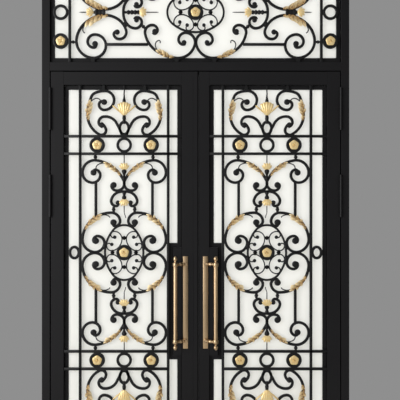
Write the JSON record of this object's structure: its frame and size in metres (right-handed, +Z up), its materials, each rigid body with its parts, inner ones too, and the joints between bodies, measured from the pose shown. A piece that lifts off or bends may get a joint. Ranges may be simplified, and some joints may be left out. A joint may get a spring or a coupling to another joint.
{
  "type": "double entrance door",
  "caption": "Double entrance door with a transom light: black steel frame, scrollwork with gilt leaves before milk glass, barrel hinges and long pull handles.",
  "frame": {"origin": "middle of the underside of the threshold, on the finished floor", "axes": "+Z up, -Y towards the outside (the side with the scrollwork and handles), +X to the right seen from outside"},
  "size_m": [2, 0.177, 3.34],
  "materials": {
    "black_paint": "satin",
    "milk_glass": "frosted",
    "champagne_brass": "satin",
    "gilt": "satin"
  },
  "bodies": {
    "frame": {"head": "black_paint", "hinge_posts_left": "black_paint", "hinge_posts_right": "black_paint", "jamb_left": "black_paint", "jamb_right": "black_paint", "threshold": "black_paint", "transom_bar": "black_paint", "transom_gilding": "gilt", "transom_glass": "milk_glass", "transom_grille": "black_paint", "transom_latches": "black_paint", "transom_sash": "black_paint"},
    "left_leaf": {"left_bottom_rail": "black_paint", "left_gilt_buds": "gilt", "left_gilt_leaves": "gilt", "left_glass": "milk_glass", "left_grille": "black_paint", "left_handle_grip": "champagne_brass", "left_handle_plate": "champagne_brass", "left_hinge_barrels": "black_paint", "left_hinge_stile": "black_paint", "left_lock_box": "black_paint", "left_lock_stile": "black_paint", "left_meeting_strip": "black_paint", "left_rosettes": "gilt", "left_sash": "black_paint", "left_sash_hinges": "black_paint", "left_sash_latch": "black_paint", "left_top_rail": "black_paint"},
    "right_leaf": {"right_bottom_rail": "black_paint", "right_gilt_buds": "gilt", "right_gilt_leaves": "gilt", "right_glass": "milk_glass", "right_grille": "black_paint", "right_handle_grip": "champagne_brass", "right_handle_plate": "champagne_brass", "right_hinge_barrels": "black_paint", "right_hinge_stile": "black_paint", "right_lock_box": "black_paint", "right_lock_stile": "black_paint", "right_rosettes": "gilt", "right_sash": "black_paint", "right_sash_hinges": "black_paint", "right_sash_latch": "black_paint", "right_top_rail": "black_paint"}
  },
  "joints": [
    {"name": "left_leaf_hinge", "type": "hinge", "parent": "frame", "child": "left_leaf", "pos_m": [-0.945, -0.0603, 0], "axis": [0, 0, -1], "range_deg": [0, 110]},
    {"name": "right_leaf_hinge", "type": "hinge", "parent": "frame", "child": "right_leaf", "pos_m": [0.945, -0.0603, 0], "axis": [0, 0, 1], "range_deg": [0, 110]}
  ]
}
